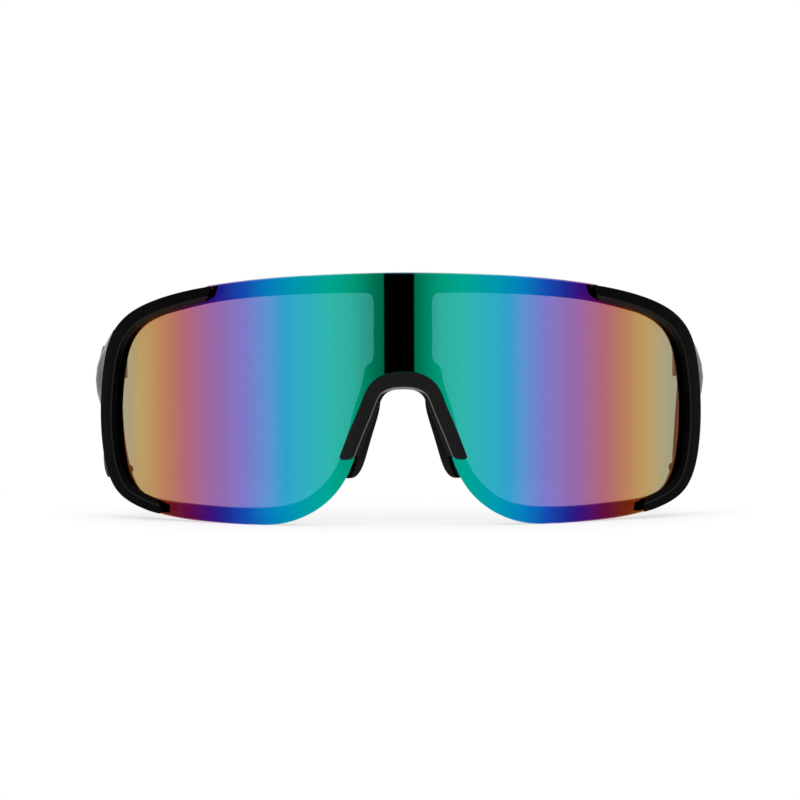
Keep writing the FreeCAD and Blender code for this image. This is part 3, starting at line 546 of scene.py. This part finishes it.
def bracket_grid():
    """The bracket's L-shaped profile, a lip on the lens and a wall round its edge, carried along the outline.

    A profile point is a distance from the outline and a radius from the lens's axis. The lip's inner side
    slopes down to the lens, and the wall's back leans in where it faces up. The lip's upper end slants: its
    inner edge is shorter. Its lower end bulges as a parabola into a nub that is cut back towards the inner
    edge. The wall stops short of the temple.
    """
    run, places, length = outline_run(BRACKET_FIRST, BRACKET_LAST)
    along, drawn = eased_ends(length, BRACKET_ROUNDING, 190)
    place = np.interp(along, run, places)
    widths = np.stack([np.arange(len(LIP_WIDTHS)), LIP_WIDTHS], axis=-1)
    width = spline(widths, place - BRACKET_FIRST)[0][:, 1]
    inwards = np.array([(1, 1), (1, -1), (-1, -1), (-1, 1), (-1, 1), (-1, 1)])
    lean = BRACKET_LEAN * np.clip(-outline(place)[1][:, 1], 0, 1)
    corners = profiles(len(along), (lean, BRACKET_BACK), (0, LIP_FRONT), (width - BRACKET_BEVEL, LIP_FRONT),
                       (width, LIP_BACK), (BRACKET_WALL, LIP_BACK), (BRACKET_WALL, BRACKET_BACK))
    radii = (0.2, 0.15, 0.25, 0.1, 0.15, 0.2)
    profile = filleted(corners + inwards * drawn[:, None, None], radii, CORNER_COLUMNS)
    depth, radius = profile[..., 0], profile[..., 1]
    share = depth / width[:, None]
    end = np.clip((along - length + NUB_LENGTH) / NUB_LENGTH, 0, 1)[:, None] ** 2
    lip = radius > LIP_BACK - SEAT_GAP
    nub = (NUB_BULGE * width[:, None] * (1 - (2 * share - 1) ** 2) - NUB_CUT * share) * end * lip
    spot = along[:, None] + BRACKET_SLANT * share * lip * (1 - along[:, None] / length) + nub
    point, inwards = outline(np.interp(spot, run, places))
    point = point + inwards * (depth + NUB_INSET * end * (1 - share))[..., None]
    radius = np.maximum(radius, np.hypot(AXIS_Y - STOP_Y, point[..., 0]))
    return wrapped(point[..., 0], point[..., 1], radius)


def lug_grid():
    """The bracket's lug for the hinge: a block with a flat inner face and an outer face along the bracket's
    wall, from the back of the frame to the joint, where its edges round off."""
    level = HINGE_Z + LUG_HEIGHT * np.linspace(-0.5, 0.5, 7)
    outer = np.maximum(side_x(level) - BRACKET_WALL + LUG_OVERLAP, MOUNT_X + LUG_LEAST)
    inner = [(MOUNT_X, level[-1]), (MOUNT_X, level[0])]
    corners = np.concatenate([np.stack([outer, level], axis=-1), inner])
    ring = filleted(corners, np.full(len(corners), LUG_ROUNDING), 5)
    along, drawn = eased_ends(1.0, LUG_END_SHARE, 12)
    middle = ring.mean(axis=0)
    ring = middle + (ring - middle) * (1 - drawn * 2)[:, None, None]
    front = AXIS_Y - np.sqrt((FRAME_BACK - SEAT_GAP) ** 2 - ring[..., 0] ** 2)
    back = front + (STOP_Y - front) * along[:, None]
    return np.stack([ring[..., 0], back, ring[..., 1]], axis=-1)


for side, sign in SIDES.items():
    # The lip's front edge gets the painted highlight line, and the slope gets the painted sheen that rises with
    # height
    piece(f"{side}_bracket_shell", "front", [f"{side}_side_bracket"], [bracket_grid(), lug_grid()],
          [DEEP, SATIN_AND_HIGHLIGHT, BEVEL], sign < 0, 50, [LIP_HIGHLIGHT_COLUMNS, BEVEL_COLUMNS])


# Rim trims

def trim_grid():
    """A thin trim carried along the outer side of the eye opening, from the frame's back to the lens."""
    places = np.linspace(0, len(TRIM_SHARES) - 1, 140)
    edge, heading = spline(TRIM_SHARES * (HALF_WIDTH, LENS_HEIGHT), places)
    outwards = np.stack([-heading[:, 1], heading[:, 0]], axis=-1)
    point = edge[:, None] + outwards[:, None] * np.array([0.0, TRIM_WIDTH, TRIM_WIDTH, 0.0])[:, None]
    radius = np.array([TRIM_FRONT, TRIM_FRONT, TRIM_BACK, TRIM_BACK])
    return wrapped(point[..., 0], point[..., 1], radius)


for side, sign in SIDES.items():
    piece(f"{side}_rim_trim", "front", [], [trim_grid()], [MATT], sign < 0, 50)


# Nose arch and pads. The polished columns of the arch's profile are its front edge's and the slope's.
SLOPE_COLUMNS = (14, 20)


def arch_grid():
    """The arch's L-shaped profile carried round the nose notch: a strip on the lens, and a web that goes back
    through the notch to the pads. A slope leads from the strip's front in to the web, widest under the top.
    The outer edge is longer at the feet, so that they end level, and each foot's end bulges as a parabola."""
    run, places, length = outline_run(BRIDGE_FIRST, BRIDGE_LAST)
    along, drawn = eased_ends(length, BRIDGE_ROUNDING, 150)
    top = np.clip(outline(np.interp(along, run, places))[1][:, 1], 0, 1) ** 3
    back = AXIS_Y - WEB_BACK_Y
    edge, slope_width, fall = (side + (under - side) * top for side, under in ARCH_SLOPE)
    foot = edge - slope_width
    slope = BRIDGE_FRONT - fall
    web = np.minimum(foot, -BRIDGE_GAP - BRIDGE_WEB)
    inwards = np.array([(-1, 1), (-1, -1), (1, -1), (0.6, 0), (0.3, 0), (0.3, 0), (-0.3, 0), (-0.3, 1)])
    corners = profiles(len(along), (BRIDGE_WIDTH, LIP_BACK), (BRIDGE_WIDTH, BRIDGE_FRONT),
                       (edge, BRIDGE_FRONT), (foot, slope), (web - WEB_DRAFT, slope - SLOPE_STEP), (web, back),
                       (-BRIDGE_GAP, back), (-BRIDGE_GAP, LIP_BACK))
    radii = (0.15, 0.5, 0.15, 0.04, 0.08, 0.15, 0.15, 0.1)
    profile = filleted(corners + inwards * drawn[:, None, None], radii, CORNER_COLUMNS)
    depth, radius = profile[..., 0], profile[..., 1]
    share = depth / BRIDGE_WIDTH
    end = (2 * along / length - 1)[:, None]
    at_foot = np.sign(end) * np.clip((np.abs(end) - (1 - FOOT_SHARE)) / FOOT_SHARE, 0, 1)
    bulge = FOOT_BULGE * np.clip(1 - (2 * share - 1) ** 2, 0, 1) * at_foot
    point, inwards = outline(np.interp(along[:, None] + bulge + FOOT_SLANT * share * end, run, places))
    point = point + inwards * depth[..., None]
    radius = np.maximum(radius, np.hypot(back, point[..., 0]))
    return wrapped(point[..., 0], point[..., 1], radius)


def pad_grid():
    """A nose pad as level rings: a blade with round edges, splayed to the nose, with a groove in its front for
    the arch's web. A superellipse makes it full along its length, with a blunt end at the top and a blunter one
    at the foot, which leans in and is thicker. The rings crowd towards both ends."""
    share = (1 - np.cos(np.linspace(PAD_END_ANGLE, math.pi - PAD_END_ANGLE, 60))) / 2
    power = np.where(share < 0.5, PAD_FOOT_POWER, PAD_TOP_POWER)
    full = (1 - np.abs(2 * share - 1) ** power) ** (1 / power)
    level = PAD_FOOT + (PAD_TOP - PAD_FOOT) * share
    edge = outline(np.linspace(NOTCH_FOOT, NOTCH_TOP, 600))[0]
    lean = PAD_LEAN * (1 - share)
    middle = np.interp(level, edge[:, 1], edge[:, 0]) - BRIDGE_GAP - BRIDGE_WEB / 2 - lean
    backwards = np.array([math.sin(PAD_SPLAY), math.cos(PAD_SPLAY)])
    back = backwards * PAD_DEPTH * full[:, None]
    across = np.array([1.0, 0.0]) * full[:, None]
    start = np.stack([middle, 0 * middle + PAD_Y], axis=-1)
    start = start + backwards * (PAD_DEPTH / 2) * (1 - full)[:, None]
    inset = np.array([0.0, GROOVE_DEPTH]) * full[:, None]
    half = across * (PAD_THICKNESS / 2) * (1 - share / 2)[:, None]
    groove, shoulder = across * GROOVE_HALF, back * PAD_SHOULDER
    shift = lean - GROOVE_SHIFT * smooth((GROOVE_SHIFT_SHARE - share) / GROOVE_SHIFT_SHARE)
    slot = start + across * shift[:, None]
    corners = np.stack([start - half, slot - groove, slot - groove + inset, slot + groove + inset,
                        slot + groove, start + half, start + half + shoulder, start + back,
                        start - half + shoulder], axis=1)
    radii = np.array([0.3, 0.1, 0.2, 0.2, 0.1, 0.1, 0.7, 0.8, 0.8]) * full[:, None]
    ring = filleted(corners, radii, 5)
    return np.concatenate([ring, np.broadcast_to(level[:, None, None], (*ring.shape[:2], 1))], axis=-1)


piece("nose_arch", "front", ["nose_bridge"], [arch_grid()], [SATIN_AND_HIGHLIGHT, POLISHED], False, 45,
      [SLOPE_COLUMNS])
for side, sign in SIDES.items():
    pad = piece(f"{side}_soft_pad", "front", [f"{side}_nose_pad"], [pad_grid()], [RUBBER],
                sign < 0, 50)


# Temples and ear sleeves

ROOT_X = float(side_x(HINGE_Z))
BEND_LENGTH = BEND_RADIUS * BEND
RUN_LENGTH = (ARM_Z - BEND_RADIUS * (1 - math.cos(BEND)) - TIP_END) / math.sin(BEND)
PATH_LENGTH = EAR_DISTANCE + BEND_LENGTH + RUN_LENGTH + TIP_END


def outer_face(distance):
    """The temple's outer face bows out behind the bracket and then runs straight back."""
    return ROOT_X + BOW * smooth(distance / BOW_LENGTH)


def arm_path(distance):
    """The temple's middle line: level to the ear, an arc down, and a straight run. Gives how far back, how
    high and how steep it is."""
    turn = np.clip((distance - EAR_DISTANCE) / BEND_RADIUS, 0, BEND)
    run = np.clip(distance - EAR_DISTANCE - BEND_LENGTH, 0, None)
    back = np.minimum(distance, EAR_DISTANCE) + BEND_RADIUS * np.sin(turn) + run * np.cos(turn)
    level = ARM_Z - BEND_RADIUS * (1 - np.cos(turn)) - run * np.sin(turn)
    return back, level, turn


def arm_rings(distance, outer, inner, height, crowns, inner_crown, lift, radius):
    """Rings square to the temple's middle line. The outer and the inner face bulge past their edges as
    parabolas."""
    back, level, turn = arm_path(distance)
    share = np.array([-1, -0.5, 0, 0.5, 1.0])
    crown = np.where(share > 0, crowns[0][:, None], crowns[1][:, None])
    out = outer[:, None] - crown * share ** 2
    inside = inner[:, None] + inner_crown[:, None] * share ** 2
    up = height[:, None] / 2 * share
    corners = np.concatenate([np.stack([out, up], axis=-1), np.stack([inside, up], axis=-1)[:, ::-1]], axis=1)
    sharp = np.array([1, 0.5, 0.5, 0.5, 1, 1, 0.5, 0.5, 0.5, 1])
    ring = filleted(corners, sharp * radius[:, None], 5)
    return np.stack([ring[..., 0], HINGE_Y + back[:, None] + ring[..., 1] * np.sin(turn)[:, None],
                     (level + lift)[:, None] + ring[..., 1] * np.cos(turn)[:, None]], axis=-1)


def temple_grid():
    """The temple: as tall as the lug at its root, then an arm that stays flat inside under the hinge leaf and
    thins."""
    along, drawn = eased_ends(TIP_START - HALF_JOINT_GAP, ARM_ROUNDING, 120)
    distance = along + HALF_JOINT_GAP
    share, bowed = smooth(distance / FLARE), smooth(distance / BOW_LENGTH)
    outer = outer_face(distance)
    thick = outer - MOUNT_X
    thick = thick + (ARM_THICKNESS - thick) * smooth((distance - ARM_THINNING) / FLARE)
    corner = ROOT_X - side_x(HINGE_Z + LUG_HEIGHT * np.array([0.5, -0.5]))
    crowns = corner[:, None] * (1 - bowed) + ARM_CROWN * bowed
    height = LUG_HEIGHT + (ARM_HEIGHT - LUG_HEIGHT) * share
    return arm_rings(distance, outer - drawn, outer - thick + drawn, height - 2 * drawn, crowns, 0 * share,
                     ARM_DROP * (1 - bowed), ROOT_EDGE + (ARM_EDGE - ROOT_EDGE) * share)


def sleeve_grid():
    """The rubber ear sleeve: a fuller ring round the same line, with a half-ellipse end on the floor."""
    along, drawn = eased_ends(PATH_LENGTH - TIP_START - SEAT_GAP, TIP_ROUNDING, 110)
    distance = along + TIP_START + SEAT_GAP
    rounding = np.clip((distance - PATH_LENGTH + TIP_END) / TIP_END, 0, TIP_END_SHARE)
    full = np.sqrt(1 - rounding ** 2)
    drawn = np.where(along < TIP_END, drawn, 0)
    middle = outer_face(distance) - ARM_THICKNESS / 2
    half = TIP_THICKNESS / 2 * full - drawn
    crown = TIP_CROWN_SHARE * half
    return arm_rings(distance, middle + half, middle - half, TIP_HEIGHT * full - 2 * drawn, (crown, crown),
                     crown, 0 * full, TIP_EDGE_SHARE * half)


for side, sign in SIDES.items():
    piece(f"{side}_arm", f"{side}_temple", [f"{side}_temple"], [temple_grid()], [GLOSSY],
          sign < 0, 50)
    piece(f"{side}_ear_sleeve", f"{side}_temple", [f"{side}_temple_tip"], [sleeve_grid()], [RUBBER],
          sign < 0, 50)


# The CAD nodes that stay

for name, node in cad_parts.items():
    metal = BLACK_STEEL if "bracket_screws" in name else STEEL
    node.data.materials.clear()
    node.data.materials.append(MATT if name == "rear_frame" else metal)


# Studio, in metres: a white floor and surroundings, soft lamps, and a dark card in front that the mirror shows
# at its middle
FLOOR = 6
SHADOW_MIDDLE = (0, -0.07, 0)
SHADOW_END, WHITE_START = 0.085, 0.15
SHADOW_WHITE = 0.65
SKY_LIGHT, SKY_SEEN = 0.9, 1.0
LAMP_AIM = Vector((0, -0.04, 0.03))


def seen_white(tree):
    """1 for rays from the camera, mirrors and clear plastic, and 0 for light that falls on the object."""
    path = add(tree, "ShaderNodeLightPath").outputs
    seen = add(tree, "ShaderNodeMath", {0: path["Is Camera Ray"], 1: path["Is Glossy Ray"]},
               operation="MAXIMUM")
    return add(tree, "ShaderNodeMath", {0: seen.outputs[0], 1: path["Is Transmission Ray"]},
               operation="MAXIMUM").outputs[0]


def flat_stage(name, corners, material):
    """One flat face of the studio, which isn't part of the object."""
    mesh = bpy.data.meshes.new(name)
    mesh.from_pydata(corners, [], [range(len(corners))])
    mesh.materials.append(material)
    made = bpy.data.objects.new(name, mesh)
    bpy.context.scene.collection.objects.link(made)
    return made


world = bpy.data.worlds.new("white_studio")
bpy.context.scene.world = world
world.use_nodes = True
world.node_tree.nodes.clear()
strength = add(world.node_tree, "ShaderNodeMapRange", {
    0: seen_white(world.node_tree), 3: SKY_LIGHT, 4: SKY_SEEN})
sky = add(world.node_tree, "ShaderNodeBackground", {
    "Color": linear("ffffff"), "Strength": strength.outputs[0]})
add(world.node_tree, "ShaderNodeOutputWorld", {"Surface": sky.outputs[0]})

# White paper that takes the object's shadow near it and is plain white further off
paper, tree = empty_tree("white_paper")
coords = add(tree, "ShaderNodeTexCoord").outputs["Object"]
reach = add(tree, "ShaderNodeVectorMath", {0: coords, 1: SHADOW_MIDDLE}, operation="DISTANCE")
share = add(tree, "ShaderNodeMapRange", {
    0: reach.outputs["Value"], 1: SHADOW_END, 2: WHITE_START, 3: SHADOW_WHITE, 4: 1.0})
share = add(tree, "ShaderNodeMath", {0: share.outputs[0], 1: seen_white(tree)}, operation="MULTIPLY")
matt = add(tree, "ShaderNodeBsdfDiffuse", {"Color": linear("f4f4f4")})
glow = add(tree, "ShaderNodeEmission", {"Color": linear("ffffff"), "Strength": 1.0})
mixed = add(tree, "ShaderNodeMixShader", {0: share.outputs[0], 1: matt.outputs[0], 2: glow.outputs[0]})
add(tree, "ShaderNodeOutputMaterial", {"Surface": mixed.outputs[0]})
flat_stage("floor", [(-FLOOR, -FLOOR, 0), (FLOOR, -FLOOR, 0), (FLOOR, FLOOR, 0), (-FLOOR, FLOOR, 0)], paper)

felt, tree = empty_tree("black_felt")
cloth = add(tree, "ShaderNodeBsdfDiffuse", {"Color": linear("020202")})
add(tree, "ShaderNodeOutputMaterial", {"Surface": cloth.outputs[0]})
CARD_RIGHT, CARD_LEFT, CARD_Y, CARD_TOP = -0.035, 0.030, -0.43, 0.13
card = flat_stage("dark_card", [(CARD_RIGHT, CARD_Y, 0), (CARD_LEFT, CARD_Y, 0),
                                (CARD_LEFT, CARD_Y, CARD_TOP), (CARD_RIGHT, CARD_Y, CARD_TOP)], felt)
card.visible_camera = card.visible_diffuse = card.visible_shadow = card.visible_transmission = False

LAMPS = (
    ("left_lamp", (1.2, -1.0, 1.3), 1.2, 7),
    ("right_lamp", (-1.2, -1.0, 1.3), 1.2, 7),
    ("top_lamp", (0.0, 0.3, 1.9), 1.6, 9),
)
for name, place, size, power in LAMPS:
    light = bpy.data.lights.new(name, "AREA")
    light.size, light.energy = size, power
    lamp = bpy.data.objects.new(name, light)
    lamp.location = place
    lamp.rotation_euler = (LAMP_AIM - Vector(place)).to_track_quat("-Z", "Y").to_euler()
    lamp.visible_glossy = False
    bpy.context.scene.collection.objects.link(lamp)

# The camera looks down a little at the lens from two metres, as a long lens does in the photograph
AIM = Vector((-0.49, -61.0, 30.46)) * MM
TURN, RISE, ROLL = math.radians(-0.925), math.radians(4.073), math.radians(0.156)
DISTANCE = 2.0
FOCAL_LENGTH = 355.95
lens = bpy.data.cameras.new("camera")
lens.sensor_width, lens.lens = 36.0, FOCAL_LENGTH
lens.clip_end = 30.0
camera = bpy.data.objects.new("camera", lens)
outwards = Vector((math.sin(TURN) * math.cos(RISE), -math.cos(TURN) * math.cos(RISE), math.sin(RISE)))
camera.location = AIM + outwards * DISTANCE
camera.rotation_mode = "QUATERNION"
camera.rotation_quaternion = (-outwards).to_track_quat("-Z", "Y") @ Quaternion((0, 0, 1), -ROLL)
bpy.context.scene.collection.objects.link(camera)
bpy.context.scene.camera = camera
bpy.context.scene.view_settings.view_transform = "Standard"
